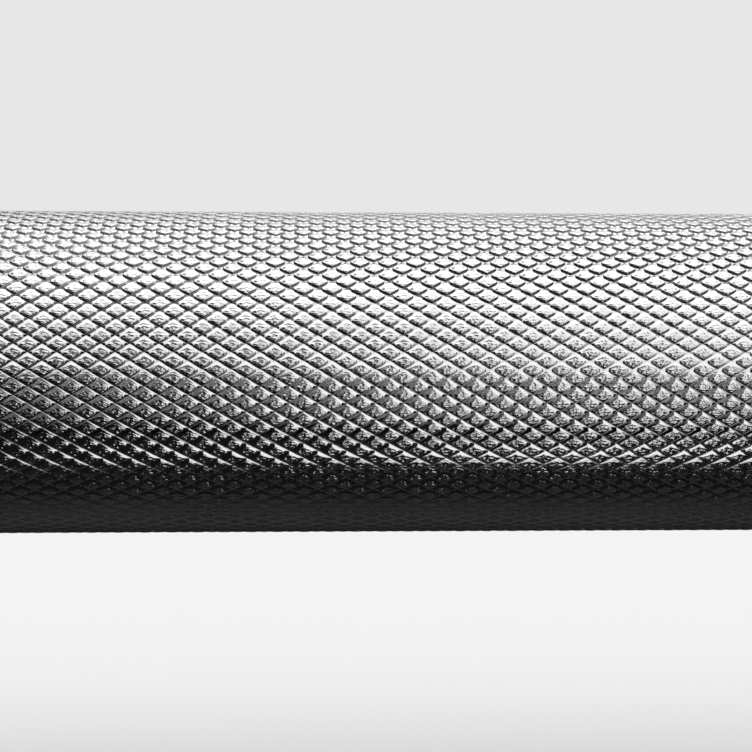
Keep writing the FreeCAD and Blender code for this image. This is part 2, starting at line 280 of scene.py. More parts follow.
def in_diamond(tree, along, round_it, out):
    """The place within its own diamond, along the bar and round it, in metres."""
    turn = reckon(tree, "DIVIDE", round_it, out)
    across = reckon(tree, "MULTIPLY_ADD", along, 1 / DIAMOND_LENGTH, -FIRST_ALONG / DIAMOND_LENGTH)
    upward = reckon(tree, "MULTIPLY_ADD", turn, SHAFT_RADIUS / DIAMOND_WIDTH, -FIRST_ROUND / DIAMOND_WIDTH)
    rising = reckon(tree, "WRAP", reckon(tree, "ADD", across, upward), 0.5, -0.5)
    falling = reckon(tree, "WRAP", reckon(tree, "SUBTRACT", across, upward), 0.5, -0.5)
    along_it = reckon(tree, "MULTIPLY", reckon(tree, "ADD", rising, falling), DIAMOND_LENGTH / 2)
    round_in = reckon(tree, "MULTIPLY", reckon(tree, "SUBTRACT", rising, falling), DIAMOND_WIDTH / 2)
    return along_it, round_in


print(f"the first diamond is {FIRST_ALONG / MM:.2f} mm along and {FIRST_ROUND / MM:.2f} mm round")

# %% Make the knurled steel
TOP_STARTS, TOP_FULL = CREST_RADIUS - 0.09 * MM, CREST_RADIUS - 0.045 * MM
GROOVE_BOTTOM, GROOVE_SIDE = CREST_RADIUS - 0.20 * MM, CREST_RADIUS - 0.15 * MM
LOWER_FLANK_FULL, LOWER_FLANK_STARTS = -0.10 * MM, -0.02 * MM
LOWER_FLANK_FADES, LOWER_FLANK_ENDS = 0.55 * MM, 0.75 * MM
# The flanks grow darker towards the bottom of each groove.
GROOVE_BOTTOM_GREY, BURNISHED = (0.62, 0.615, 0.61), (0.72, 0.72, 0.725)
WORN_DARK, WORN_LIGHT = (0.64, 0.64, 0.645), (0.74, 0.74, 0.745)
# Painted shade: the dark grey of the lower flanks, which face down.
LOWER_FLANK_SHADE = (0.30, 0.295, 0.29)
DULL_ROUGHNESS = 0.28
BLOTCH_GRAIN, SKIN_GRAIN = (160.0, 160.0, 160.0), (14000.0, 9000.0, 0.0)
DENT_GRAIN = (2400.0, 4600.0, 3.0)
DENT_DEPTH = 0.16 * MM
SKIN_SHARE = 0.03
FLANK_DENTS = 0.05
FLANK_ROUGHNESS, TOP_ROUGHNESS = (0.07, 0.12), (0.06, 0.14)


def shade_and_rough_share(tree, top, across, upward):
    """How far a place is on the lower flank of its diamond, which takes painted shade and roughness."""
    flank = reckon(tree, "SUBTRACT", 1.0, top)
    below = spread(tree, upward, LOWER_FLANK_FULL, LOWER_FLANK_STARTS, 1.0, 0.0)
    beside = spread(tree, reckon(tree, "ABSOLUTE", across), LOWER_FLANK_FADES, LOWER_FLANK_ENDS, 1.0, 0.0)
    return reckon(tree, "MULTIPLY", reckon(tree, "MULTIPLY", below, flank), beside)


def make_knurled_steel():
    """Bright flanks, lower ones with painted shade and more roughness, and dented tops."""
    material, tree, shader = new_finish("knurled_steel", 1.0)
    along, round_it, out = unrolled(tree)
    across, upward = in_diamond(tree, along, round_it, out)
    top = spread(tree, out, TOP_STARTS, TOP_FULL, 0.0, 1.0)
    shade_and_rough = shade_and_rough_share(tree, top, across, upward)
    blotch = grain(tree, along, round_it, out, BLOTCH_GRAIN, 2.0)
    dents = grain(tree, across, upward, blotch, DENT_GRAIN, 1.0)
    skin = grain(tree, along, round_it, out, SKIN_GRAIN, 2.0)
    # Darker towards the groove bottoms.
    flank = tinted(tree, spread(tree, out, GROOVE_BOTTOM, GROOVE_SIDE, 0.0, 1.0), GROOVE_BOTTOM_GREY, BURNISHED)
    colour = tinted(tree, top, flank, tinted(tree, skin, WORN_DARK, WORN_LIGHT))
    # Painted shade: the lower flanks are tinted dark grey.
    tree.links.new(tinted(tree, shade_and_rough, colour, LOWER_FLANK_SHADE), shader.inputs["Base Color"])
    smooth_flank = spread(tree, blotch, 0.35, 0.65, *FLANK_ROUGHNESS)
    rough_top = spread(tree, skin, 0.3, 0.7, *TOP_ROUGHNESS)
    roughness = blended(tree, shade_and_rough, blended(tree, top, smooth_flank, rough_top), DULL_ROUGHNESS)
    tree.links.new(roughness, shader.inputs["Roughness"])
    height = reckon(tree, "MULTIPLY_ADD", skin, SKIN_SHARE, reckon(tree, "SUBTRACT", dents, 0.5))
    dented = spread(tree, top, 0.0, 1.0, FLANK_DENTS, 1.0)
    height = reckon(tree, "MULTIPLY", height, dented)
    dent(tree, shader, height, DENT_DEPTH)
    return material


knurled_steel = make_knurled_steel()
print(knurled_steel.name, "has", len(knurled_steel.node_tree.nodes), "nodes")

# %% [markdown]
# ## A knurled band
# A band is the diamond wrapped on the shaft and repeated. Spin with duplicates makes one ring of it, a
# second ring half a step further fills the gaps, and copies of the pair run along the bar. Welding the
# doubles makes one skin. A little noise moves the tops, because no two are the same.

# %% Rows of diamonds
from mathutils.noise import noise as perlin

WELD = 0.002 * MM
ROUGH_DEPTH = 0.05 * MM
LIFT, LIFT_GRAIN, SINK = 0.010 * MM, 0.5 * MM, 0.008 * MM
SLIDE, SLIDE_GRAIN, SLIDE_SHIFT = 0.012 * MM, 0.4 * MM, Vector((9, 5, 2))


def wrap_on_shaft(bm):
    """Roll a flat cell onto the shaft, on the side that faces -Y."""
    for vert in bm.verts:
        turn = (vert.co.y + FIRST_ROUND) / SHAFT_RADIUS
        radius = CREST_RADIUS + vert.co.z
        vert.co = (vert.co.x, -radius * math.cos(turn), radius * math.sin(turn))


def all_of(bm):
    """Every vertex, edge and face of a mesh."""
    return bm.verts[:] + bm.edges[:] + bm.faces[:]


def copied(bm, geometry, step, turn=0.0):
    """Copy geometry along the bar, and round it."""
    copy = bmesh.ops.duplicate(bm, geom=geometry)["geom"]
    verts = [g for g in copy if isinstance(g, bmesh.types.BMVert)]
    bmesh.ops.rotate(bm, cent=(0, 0, 0), matrix=Matrix.Rotation(turn, 3, "X"), verts=verts)
    bmesh.ops.translate(bm, vec=(step, 0, 0), verts=verts)


def rows_of(cell, start, end):
    """Wrap a cell on the shaft and repeat it round the bar and from before the start to past the end."""
    wrap_on_shaft(cell)
    last_turn = 2 * math.pi * (DIAMONDS_ROUND - 1) / DIAMONDS_ROUND
    bmesh.ops.spin(cell, geom=all_of(cell), cent=(0, 0, 0), axis=(1, 0, 0), dvec=(0, 0, 0),
                   angle=last_turn, steps=DIAMONDS_ROUND - 1, use_duplicate=True)
    copied(cell, all_of(cell), DIAMOND_LENGTH / 2, math.pi / DIAMONDS_ROUND)
    first = math.floor(start / DIAMOND_LENGTH) - 1
    count = math.ceil(end / DIAMOND_LENGTH) - first
    bmesh.ops.translate(cell, vec=(first * DIAMOND_LENGTH + FIRST_ALONG, 0, 0), verts=cell.verts[:])
    pair = all_of(cell)
    for column in range(1, count + 1):
        copied(cell, pair, column * DIAMOND_LENGTH)
    bmesh.ops.remove_doubles(cell, verts=cell.verts[:], dist=WELD)


def roughen_tops(bm):
    """Move the tops of the diamonds a little, each differently."""
    for vert in bm.verts:
        radius = math.hypot(vert.co.y, vert.co.z)
        if radius > CREST_RADIUS - ROUGH_DEPTH:
            lift = LIFT * perlin(vert.co / LIFT_GRAIN) - SINK
            scale = (radius + lift) / radius
            slide = SLIDE * perlin(vert.co / SLIDE_GRAIN + SLIDE_SHIFT)
            vert.co = (vert.co.x + slide, vert.co.y * scale, vert.co.z * scale)


print("ready to roll", DIAMONDS_ROUND, "diamonds to a turn")

# %% [markdown]
# ## The ends of a band
# Two cuts square to the bar give a band its length. Where the wheel stopped, the pattern fades into the
# smooth shaft over about half a diamond. The ends are then closed, so that the band is a solid.

# %% Cut, fade and show a band
FADE = 1.3 * MM
CUT_TOLERANCE = 1e-7


def knurled_band(cell, start, end, fades):
    """Cover the shaft with a cell from start to end; fades says at which ends the pattern runs out."""
    rows_of(cell, start, end)
    roughen_tops(cell)
    for place, direction in ((start, -1), (end, 1)):
        bmesh.ops.bisect_plane(cell, geom=all_of(cell), dist=CUT_TOLERANCE, plane_co=(place, 0, 0),
                               plane_no=(direction, 0, 0), clear_outer=True)
    for vert in cell.verts:
        left = min([abs(vert.co.x - place) for place in fades] + [FADE]) / FADE
        radius = math.hypot(vert.co.y, vert.co.z)
        scale = (SHAFT_RADIUS + (radius - SHAFT_RADIUS) * left * left * (3 - 2 * left)) / radius
        vert.co = (vert.co.x, vert.co.y * scale, vert.co.z * scale)
    bmesh.ops.holes_fill(cell, edges=[e for e in cell.edges if e.is_boundary], sides=0)
    return cell


def shown(name, bm, material, node, body, sharp=40):
    """Turn a bmesh into a piece that rides on a body and stands for a CAD node."""
    bmesh.ops.recalc_face_normals(bm, faces=bm.faces[:])
    open_edges = sum(e.is_boundary for e in bm.edges)
    mesh = bpy.data.meshes.new(name)
    bm.to_mesh(mesh)
    bm.free()
    mesh.shade_smooth()
    mesh.set_sharp_from_angle(angle=math.radians(sharp))
    mesh.materials.append(material)
    piece = bpy.data.objects.new(name, mesh)
    bpy.context.scene.collection.objects.link(piece)
    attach(piece, body)
    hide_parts(node)
    mesh.calc_loop_triangles()
    print(name, len(mesh.loop_triangles), "triangles,", open_edges, "open edges")


print("bands fade out over", FADE / MM, "mm")

# %% [markdown]
# ## The centre knurl
# The band in the middle of the bar is the one seen closest. It is made in three pieces, so that none of
# them is too heavy, and its edges are kept sharp from a small angle on, because each facet mirrors its
# own part of the studio.

# %% Knurl the middle
CENTRE_END = 60.0 * MM
CENTRE_SPLIT = 34.0 * MM
FACET_ANGLE = 18
for name, start, end, fades in (
    ("centre_knurl", -CENTRE_SPLIT, CENTRE_SPLIT, ()),
    ("centre_knurl_left", -CENTRE_END, -CENTRE_SPLIT, (-CENTRE_END,)),
    ("centre_knurl_right", CENTRE_SPLIT, CENTRE_END, (CENTRE_END,)),
):
    band = knurled_band(fine_cell(), start, end, fades)
    shown(name, band, knurled_steel, "shaft", "shaft", FACET_ANGLE)

# %% [markdown]
# ## The grips
# The two hands hold longer bands of the same knurl, with a narrow smooth ring in each as a mark for the
# hands. They hold more than forty thousand diamonds, so their cell is the plain one.

# %% Knurl the grips
INNER_GRIP = (210.0 * MM, 455.0 * MM)
OUTER_GRIP = (460.0 * MM, 652.0 * MM)
for side, sign in (("left", -1), ("right", 1)):
    for place, ends in (("inner", INNER_GRIP), ("outer", OUTER_GRIP)):
        start, end = sorted(sign * grip_end for grip_end in ends)
        band = knurled_band(plain_cell(), start, end, (start, end))
        shown(f"{side}_{place}_grip", band, knurled_steel, "shaft", "shaft")

# %% [markdown]
# ## Turned finishes
# Most other metal pieces of the bar are turned or ground. Turning leaves fine rings, which are noise along
# the bar on a cylinder and noise outwards on an end face, so the sum of the two distances serves for
# both. Handling leaves smudges, and plates leave scratches along the sleeve. One function makes all the
# finishes of these pieces from a few values.

# %% Make the turned finishes
RING_GRAIN, SMUDGE_GRAIN, SCRATCH_GRAIN = (3800.0, 6.0, 0.0), (28.0, 45.0, 45.0), (14.0, 2600.0, 0.0)
FINE_RINGS, RINGS, COARSE_RINGS, CAP_RINGS = 0.003 * MM, 0.004 * MM, 0.006 * MM, 0.008 * MM


def turned_finish(name, dark, light, gloss, ring_depth, scratch):
    """A turned metal between two greys or colours: gloss is its range of roughness."""
    material, tree, shader = new_finish(name, 1.0)
    along, round_it, out = unrolled(tree)
    station = reckon(tree, "ADD", along, out)
    rings = grain(tree, station, round_it, out, RING_GRAIN, 3.0)
    smudge = grain(tree, along, round_it, out, SMUDGE_GRAIN, 4.0)
    drag = grain(tree, along, round_it, out, SCRATCH_GRAIN, 2.0)
    tree.links.new(tinted(tree, smudge, dark, light), shader.inputs["Base Color"])
    shine = spread(tree, smudge, 0.3, 0.75, *gloss)
    scratched = spread(tree, drag, 0.62, 0.70, 0.0, scratch)
    tree.links.new(reckon(tree, "ADD", shine, scratched), shader.inputs["Roughness"])
    dent(tree, shader, rings, ring_depth)
    print(name, "has", len(tree.nodes), "nodes")
    return material


polished_steel = turned_finish(
    "polished_steel", (0.60, 0.60, 0.61), (0.70, 0.70, 0.71), (0.12, 0.26), RINGS, 0.05)
hard_chrome = turned_finish(
    "hard_chrome", (0.72, 0.73, 0.74), (0.80, 0.81, 0.82), (0.06, 0.16), FINE_RINGS, 0.12)
oiled_bronze = turned_finish(
    "oiled_bronze", (0.50, 0.32, 0.15), (0.66, 0.46, 0.24), (0.30, 0.48), COARSE_RINGS, 0.0)
ground_steel = turned_finish(
    "ground_steel", (0.52, 0.52, 0.54), (0.66, 0.66, 0.68), (0.14, 0.28), FINE_RINGS, 0.0)
stamped_steel = turned_finish(
    "stamped_steel", (0.38, 0.38, 0.40), (0.50, 0.50, 0.52), (0.34, 0.52), RINGS, 0.0)
blackened_steel = turned_finish(
    "blackened_steel", (0.06, 0.06, 0.066), (0.11, 0.11, 0.118), (0.30, 0.46), FINE_RINGS, 0.0)
satin_black_steel = turned_finish(
    "satin_black_steel", (0.13, 0.13, 0.138), (0.20, 0.20, 0.21), (0.26, 0.44), CAP_RINGS, 0.0)

# %% [markdown]
# ## Rubber
# The seals are moulded black rubber, matt and slightly dusty. Rubber isn't a metal, so its colour is a
# plain dark grey that noise lightens where dust sits, and fine noise gives it the grain of its mould.

# %% Make the rubber
CLEAN_RUBBER, DUSTY_RUBBER = (0.022, 0.022, 0.022), (0.055, 0.053, 0.05)
DUST_GRAIN, MOULD_GRAIN = (400.0, 400.0, 400.0), (5000.0, 5000.0, 5000.0)
MOULD_DEPTH = 0.02 * MM


def make_seal_rubber():
    """Matt black, paler where dust sits, with the grain of its mould."""
    material, tree, shader = new_finish("seal_rubber", 0.0)
    along, round_it, out = unrolled(tree)
    dust = grain(tree, along, round_it, out, DUST_GRAIN, 4.0)
    mould = grain(tree, along, round_it, out, MOULD_GRAIN, 2.0)
    tree.links.new(tinted(tree, dust, CLEAN_RUBBER, DUSTY_RUBBER), shader.inputs["Base Color"])
    tree.links.new(spread(tree, dust, 0.3, 0.7, 0.55, 0.8), shader.inputs["Roughness"])
    dent(tree, shader, mould, MOULD_DEPTH, strength=0.6)
    return material


seal_rubber = make_seal_rubber()
print(seal_rubber.name, "has", len(seal_rubber.node_tree.nodes), "nodes")

# %% [markdown]
# ## Smooth lengths of the shaft
# Between the knurled bands the shaft is ground smooth. Each length is a half section spun once round the
# axis, as on a lathe. The outer ones go on into the sleeves as journals, with a shoulder, a groove for a
# retaining ring and a turning centre in the end face.

# %% The lathe
STEPS_ROUND = 128


def lathe(section, sign, closed=False):
    """Spin a half section of (along, radius) corners once round the bar; sign -1 is the left end."""
    bm = bmesh.new()
    verts = [bm.verts.new((sign * along, 0, radius)) for along, radius in section]
    edges = [bm.edges.new(pair) for pair in zip(verts, verts[1:])]
    if closed:
        edges.append(bm.edges.new((verts[-1], verts[0])))
    bmesh.ops.spin(bm, geom=verts + edges, cent=(0, 0, 0), axis=(1, 0, 0), dvec=(0, 0, 0),
                   angle=2 * math.pi, steps=STEPS_ROUND, use_merge=True)
    bmesh.ops.remove_doubles(bm, verts=bm.verts[:], dist=HAIR)
    return bm


def rod(start, end):
    """The half section of a plain length of shaft."""
    return [(start, 0), (start, SHAFT_RADIUS), (end, SHAFT_RADIUS), (end, 0)]


print("the lathe makes", STEPS_ROUND, "steps to a turn")

# %% Turn the smooth lengths
SHOULDER = 663.0 * MM
SHOULDER_CHAMFER = 0.5 * MM
JOURNAL_RADIUS = 12.5 * MM
RING_GROOVE = (1074.7 * MM, 1076.0 * MM)
RING_GROOVE_RADIUS = 11.95 * MM
SHAFT_TIP = 1080.0 * MM
TIP_CHAMFER = 1.0 * MM
TURNING_CENTRE_RADIUS = 4.0 * MM
TURNING_CENTRE_DEPTH = TURNING_CENTRE_RADIUS / math.tan(math.radians(30))
shaft_end = [
    (OUTER_GRIP[1], 0),
    (OUTER_GRIP[1], SHAFT_RADIUS),
    (SHOULDER - SHOULDER_CHAMFER, SHAFT_RADIUS),
    (SHOULDER, SHAFT_RADIUS - SHOULDER_CHAMFER),
    (SHOULDER, JOURNAL_RADIUS),
    (RING_GROOVE[0], JOURNAL_RADIUS),
    (RING_GROOVE[0], RING_GROOVE_RADIUS),
    (RING_GROOVE[1], RING_GROOVE_RADIUS),
    (RING_GROOVE[1], JOURNAL_RADIUS),
    (SHAFT_TIP - TIP_CHAMFER, JOURNAL_RADIUS),
    (SHAFT_TIP, JOURNAL_RADIUS - TIP_CHAMFER),
    (SHAFT_TIP, TURNING_CENTRE_RADIUS),
    (SHAFT_TIP - TURNING_CENTRE_DEPTH, 0),
]
for side, sign in (("left", -1), ("right", 1)):
    for name, section in (
        ("smooth_length", rod(CENTRE_END, INNER_GRIP[0])),
        ("hand_mark", rod(INNER_GRIP[1], OUTER_GRIP[0])),
        ("shaft_end", shaft_end),
    ):
        length = lathe(section, sign)
        shown(f"{side}_{name}", length, polished_steel, "shaft", "shaft")

# %% [markdown]
# ## Sleeves and collars
# The plates slide on the sleeves, which are hard-chromed tubes with a collar shrunk on the inner end.
# Their CAD meshes are a little coarse for a mirror finish, so the same half sections are spun again with
# more steps, and the rims of the collars are bevelled so that the edges catch the light.

# %% The section of a sleeve
SLEEVE_START, SLEEVE_END = 655.0 * MM, 1100.0 * MM
SLEEVE_RADIUS = 25.0 * MM
SLEEVE_CHAMFER = 2.0 * MM
COLLAR_END = 685.0 * MM
COLLAR_SEAT_RADIUS = 24.0 * MM
SEAL_MOUTH_RADIUS, SEAL_MOUTH_END = 18.8 * MM, 667.7 * MM
BORE_RADIUS, BORE_END = 15.3 * MM, 1070.0 * MM
RING_ROOM_RADIUS = 19.5 * MM
CAP_SEAT, CAP_FACE = 1089.15 * MM, 1096.15 * MM
CAP_BORE_RADIUS = 21.0 * MM
CAP_RING_RADIUS, CAP_RING_END = 22.25 * MM, 1098.0 * MM
MOUTH_CHAMFER = 0.5 * MM
sleeve = [
    (SLEEVE_START, SEAL_MOUTH_RADIUS + MOUTH_CHAMFER),
    (SLEEVE_START, COLLAR_SEAT_RADIUS),
    (COLLAR_END, COLLAR_SEAT_RADIUS),
    (COLLAR_END, SLEEVE_RADIUS),
    (SLEEVE_END - SLEEVE_CHAMFER, SLEEVE_RADIUS),
    (SLEEVE_END, SLEEVE_RADIUS - SLEEVE_CHAMFER),
    (SLEEVE_END, CAP_BORE_RADIUS + MOUTH_CHAMFER),
    (SLEEVE_END - MOUTH_CHAMFER, CAP_BORE_RADIUS),
    (CAP_RING_END, CAP_BORE_RADIUS),
    (CAP_RING_END, CAP_RING_RADIUS),
    (CAP_FACE, CAP_RING_RADIUS),
    (CAP_FACE, CAP_BORE_RADIUS),
    (CAP_SEAT, CAP_BORE_RADIUS),
    (CAP_SEAT, RING_ROOM_RADIUS),
    (BORE_END, RING_ROOM_RADIUS),
    (BORE_END, BORE_RADIUS),
    (SEAL_MOUTH_END, BORE_RADIUS),
    (SEAL_MOUTH_END, SEAL_MOUTH_RADIUS),
    (SLEEVE_START + MOUTH_CHAMFER, SEAL_MOUTH_RADIUS),
]
print("the section of a sleeve has", len(sleeve), "corners")

# %% The collar, and a sleeve with it
COLLAR_RADIUS = 40.0 * MM
COLLAR_ROUND = 4.0 * MM
COLLAR_ROUND_STEPS = 8
MIRROR_ANGLE = 25
collar = [
    (SLEEVE_START, COLLAR_SEAT_RADIUS),
    (SLEEVE_START, COLLAR_RADIUS),
    (COLLAR_END, COLLAR_RADIUS),
    (COLLAR_END, COLLAR_SEAT_RADIUS),
]


def round_rims(bm, radius, width, segments):
    """Bevel the edges that run round the bar at a radius."""
    rims = []
    for edge in bm.edges:
        on_radius = all(abs(math.hypot(v.co.y, v.co.z) - radius) < 10 * HAIR for v in edge.verts)
        if on_radius and abs(edge.verts[0].co.x - edge.verts[1].co.x) < HAIR:
            rims.append(edge)
    bmesh.ops.bevel(bm, geom=rims, offset=width, segments=segments, profile=0.5,
                    affect="EDGES", material=-1)


def turn_sleeve(side, sign):
    """A sleeve and its collar, which turn together."""
    body = side + "_sleeve"
    tube = lathe(sleeve, sign, closed=True)
    shown(body, tube, hard_chrome, side + "_sleeve_tube", body, MIRROR_ANGLE)
    ring = lathe(collar, sign, closed=True)
    round_rims(ring, COLLAR_RADIUS, COLLAR_ROUND, COLLAR_ROUND_STEPS)
    shown(side + "_collar", ring, hard_chrome, side + "_inner_collar", body, MIRROR_ANGLE)


print("a collar's rims are rounded in", COLLAR_ROUND_STEPS, "steps")

# %% [markdown]
# ## Caps
# A turned cap closes the open end of each sleeve. Its rim has a groove for a rubber seal and chamfers
# that lead it into the bore, and its face is dished. It is spun like the sleeve.

# %% Turn the sleeves, collars and caps
CAP_RADIUS = 20.95 * MM
CAP_CHAMFER = 0.6 * MM
SEAL_GROOVE = (1091.45 * MM, 1093.85 * MM)
SEAL_GROOVE_RADIUS = 19.0 * MM
DISH_DEPTH = 1.0 * MM
DISH_RADIUS, DISH_RIM_RADIUS = 13.45 * MM, 14.95 * MM
cap = [
    (CAP_SEAT, 0),
    (CAP_SEAT, CAP_RADIUS - CAP_CHAMFER),
    (CAP_SEAT + CAP_CHAMFER, CAP_RADIUS),
    (SEAL_GROOVE[0], CAP_RADIUS),
    (SEAL_GROOVE[0], SEAL_GROOVE_RADIUS),
    (SEAL_GROOVE[1], SEAL_GROOVE_RADIUS),
    (SEAL_GROOVE[1], CAP_RADIUS),
    (CAP_FACE - CAP_CHAMFER, CAP_RADIUS),
    (CAP_FACE, CAP_RADIUS - CAP_CHAMFER),
    (CAP_FACE, DISH_RIM_RADIUS),
    (CAP_FACE - DISH_DEPTH, DISH_RADIUS),
    (CAP_FACE - DISH_DEPTH, 0),
]
for side, sign in (("left", -1), ("right", 1)):
    turn_sleeve(side, sign)
    disc = lathe(cap, sign)
    body = side + "_sleeve"
    shown(side + "_cap", disc, satin_black_steel, side + "_end_cap", body, MIRROR_ANGLE)

# %% [markdown]
# ## Finishes for the CAD pieces
# The bushings, bearings, washers, rings and seals keep their CAD meshes. Each takes the finish of its
# material slot.

# %% Finish the CAD pieces
FINISH_OF_SLOT = {
    "bright_shaft_steel": polished_steel,
    "hard_chrome": hard_chrome,
    "bronze": oiled_bronze,
    "bearing_steel": ground_steel,
    "cage_steel": stamped_steel,
    "spring_steel": blackened_steel,
    "cap_steel": satin_black_steel,
    "black_rubber": seal_rubber,
}
for row in frame["record"]["subparts"]:
    mesh = frame["nodes"][row["node"]].data
    mesh.materials.clear()
    mesh.materials.append(FINISH_OF_SLOT[row["material_slot"]])

# %% [markdown]
# ## Studio
# The bar lies on a pale floor that sweeps up into a pale wall all round, so that no horizon shows behind
# polished steel. The sweep is one profile spun about the vertical. Its light to the camera and to mirrors
# is plain white that takes over with distance, while close to the bar the floor is lit and takes its
# shadow.

# %% Pale paper
PAPER_GREY = (0.86, 0.86, 0.86, 1)
PAPER_GLOW = (0.80, 0.80, 0.80, 1)
GLOW_STARTS, GLOW_FULL = 1.5, 7.0


def make_pale_paper():
    """Lit paper near the bar, which turns to an even pale grey with distance."""
    material, tree, shader = new_finish("pale_paper", 0.0)
    shader.inputs["Base Color"].default_value = PAPER_GREY
    shader.inputs["Roughness"].default_value = 1.0
    shader.inputs["Specular IOR Level"].default_value = 0.0
    place = add_node(tree, "TexCoord", {}).outputs["Object"]
    away = add_node(tree, "VectorMath", {0: place}, operation="LENGTH").outputs["Value"]
    path = add_node(tree, "LightPath", {}).outputs
    seen = reckon(tree, "MAXIMUM", path["Is Camera Ray"], path["Is Glossy Ray"])
    seen = reckon(tree, "MAXIMUM", seen, path["Is Transmission Ray"])
    share = reckon(tree, "MULTIPLY", seen, spread(tree, away, GLOW_STARTS, GLOW_FULL, 0.0, 1.0))
    glow = add_node(tree, "Emission", {"Color": PAPER_GLOW, "Strength": 1.0})
    mix = add_node(tree, "MixShader", {0: share, 1: shader.outputs[0], 2: glow.outputs[0]})
    tree.links.new(mix.outputs[0], tree.nodes["Material Output"].inputs["Surface"])
    material.cycles.emission_sampling = "NONE"
    return material


pale_paper = make_pale_paper()
print(pale_paper.name, "has", len(pale_paper.node_tree.nodes), "nodes")

# %% Floor and sweep
FLOOR_HEIGHT = -40.0 * MM
SWEEP_SECTION = [(0.0, 0.0), (4.0, 0.0), (8.0, 0.0), (9.0, 0.13), (9.7, 0.5), (10.0, 1.2), (10.0, 3.2)]
SWEEP_STEPS = 96
SWEEP_WELD = 0.01 * MM


def staged(name, bm, material):
    """Turn a bmesh into a piece of the studio."""
    mesh = bpy.data.meshes.new(name)
    bm.to_mesh(mesh)
    bm.free()
    mesh.materials.append(material)
    prop = bpy.data.objects.new(name, mesh)
    bpy.context.scene.collection.objects.link(prop)
    return prop


def spin_sweep():
    """Spin the section of the floor and its sweep about the vertical."""
    bm = bmesh.new()
    verts = [bm.verts.new((out, 0, FLOOR_HEIGHT + up)) for out, up in SWEEP_SECTION]
    edges = [bm.edges.new(pair) for pair in zip(verts, verts[1:])]
    bmesh.ops.spin(bm, geom=verts + edges, cent=(0, 0, 0), axis=(0, 0, 1), dvec=(0, 0, 0),
                   angle=2 * math.pi, steps=SWEEP_STEPS, use_merge=True)
    bmesh.ops.remove_doubles(bm, verts=bm.verts[:], dist=SWEEP_WELD)
    bmesh.ops.recalc_face_normals(bm, faces=bm.faces[:])
    return bm


sweep = staged("sweep", spin_sweep(), pale_paper)
sweep.data.shade_smooth()
print("floor at", FLOOR_HEIGHT, "m, sweep", SWEEP_SECTION[-1][0], "m out")

# %% [markdown]
# ## Light
# Bright metal shows what stands round it. A wide soft light overhead and a little in front whitens the
# upper half of the shaft, and another behind whitens its top edge. Lamps of that size have hard rims in a
# mirror, so both are patches of bright sky in the world shader, each with a soft edge. They light the
# whole length of the bar alike.

# %% Soft patches of sky
OVERHEAD = Vector((0.14, -0.34, 0.93)).normalized()
BEHIND = Vector((0.05, 0.50, 0.866)).normalized()
OVERHEAD_ANGLES, OVERHEAD_LEVEL = (28, 62), 1.18
BEHIND_ANGLES, BEHIND_LEVEL = (25, 50), 0.9
SKY_BASE = 0.11
SKY_TO_CAMERA = 0.8


def soft_patch(tree, direction, aim, inner, outer, brightness):
    """A bright patch of sky round its aim, full at the inner angle and gone at the outer, in degrees."""
    near = add_node(tree, "VectorMath", {0: direction, 1: aim}, operation="DOT_PRODUCT").outputs["Value"]
    low, high = math.cos(math.radians(outer)), math.cos(math.radians(inner))
    sockets = {"Value": near, "From Min": low, "From Max": high, "To Min": 0.0, "To Max": brightness}
    return add_node(tree, "MapRange", sockets, interpolation_type="SMOOTHSTEP").outputs["Result"]


world = bpy.data.worlds.new("studio_sky")
bpy.context.scene.world = world
world.use_nodes = True
sky = world.node_tree
direction = add_node(sky, "TexCoord", {}).outputs["Generated"]
overhead = soft_patch(sky, direction, OVERHEAD, *OVERHEAD_ANGLES, OVERHEAD_LEVEL)
behind = soft_patch(sky, direction, BEHIND, *BEHIND_ANGLES, BEHIND_LEVEL)
level = reckon(sky, "ADD", reckon(sky, "ADD", overhead, behind), SKY_BASE)
to_camera = add_node(sky, "LightPath", {}).outputs["Is Camera Ray"]
background = sky.nodes["Background"].inputs
sky.links.new(blended(sky, to_camera, level, SKY_TO_CAMERA), background["Strength"])
background["Color"].default_value = (1, 1, 1, 1)
print("sky has", len(sky.nodes), "nodes")

# %% [markdown]
# ## Cards
# Each diamond is a small bright pillow that mirrors whatever stands before it. What draws its shape is a
# painted reflection on two glowing cards: a black one on the floor and a tall one further off, white on
# the right and, on the left, grey with blotches, painted like a room. A white wedge painted on the floor
# card carries the white on towards the bar. The tall card stands well away, so that it doesn't shift from
# one end of the picture to the other. No camera sees the cards and they cast no shadow, so only
# reflections show them. Each row of four numbers below is a range of places and the two levels at its
# ends.

# %% Painted reflection for the tall card
ROOM_AWAY = 1.5
ROOM_WHITE = 1.25
BLOTCH_SCALE = 7.0
GREY_OF_BLOTCH = (0.42, 0.60, 0.03, 0.36)
GREY_OF_HEIGHT = (-0.06, 0.45, 0.2, 1.2)
WHITE_STARTS = (0.20, 0.30, 0.0, 1.0)
WHITE_DIMS = (0.62, 0.85, 1.0, 0.3)
EDGE_HEIGHT = (-0.1, 0.3, 0.12, -0.03)
EDGE_SOFTNESS = (-0.02, 0.02, 0.0, 1.0)


def glowing(name):
    """A material that only glows: its tree, the socket for its strength and the place on it."""
    material, tree, _ = new_finish(name, 0.0)
    place = add_node(tree, "TexCoord", {}).outputs["Object"]
    split = add_node(tree, "SeparateXYZ", {"Vector": place})
    glow = add_node(tree, "Emission", {"Color": (1, 1, 1, 1)})
    tree.links.new(glow.outputs[0], tree.nodes["Material Output"].inputs["Surface"])
    material.cycles.emission_sampling = "NONE"
    return material, tree, glow.inputs["Strength"], split.outputs


